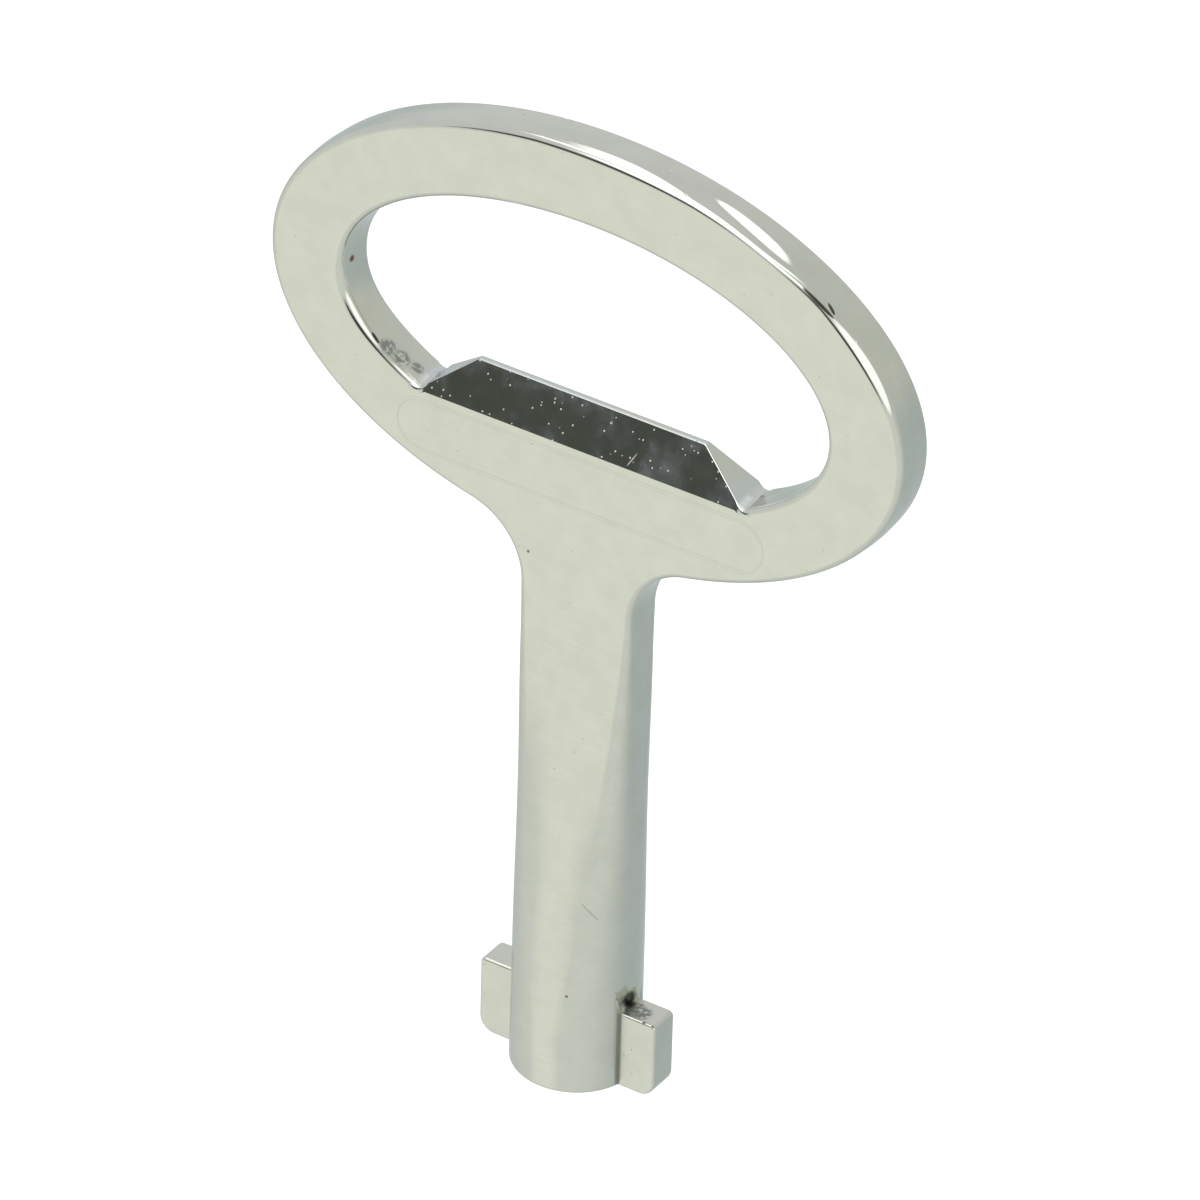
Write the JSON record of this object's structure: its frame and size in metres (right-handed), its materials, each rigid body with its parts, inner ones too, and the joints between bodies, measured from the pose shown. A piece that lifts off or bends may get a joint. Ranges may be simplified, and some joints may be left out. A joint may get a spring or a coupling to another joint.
{
  "type": "double-bit cabinet key",
  "caption": "Die-cast key with an oval finger bow, a thumb ridge, a shank that turns from flat to round, opposed bits and a pin bore; it turns a cabinet or panel lock.",
  "frame": {"origin": "centre of the shank's end face, on the axis of the pin bore", "axes": "+Z from the shank's tip up to the bow, +X across the bow towards right_bit, -Y is the front face of the bow"},
  "size_m": [0.0496, 0.009, 0.0727],
  "materials": {
    "plated_zinc": "bright nickel-chrome plating over a zinc die casting"
  },
  "bodies": {
    "root": {"shank": "plated_zinc", "bow": "plated_zinc", "thumb_ridge": "plated_zinc", "right_bit": "plated_zinc", "left_bit": "plated_zinc"}
  },
  "joints": []
}
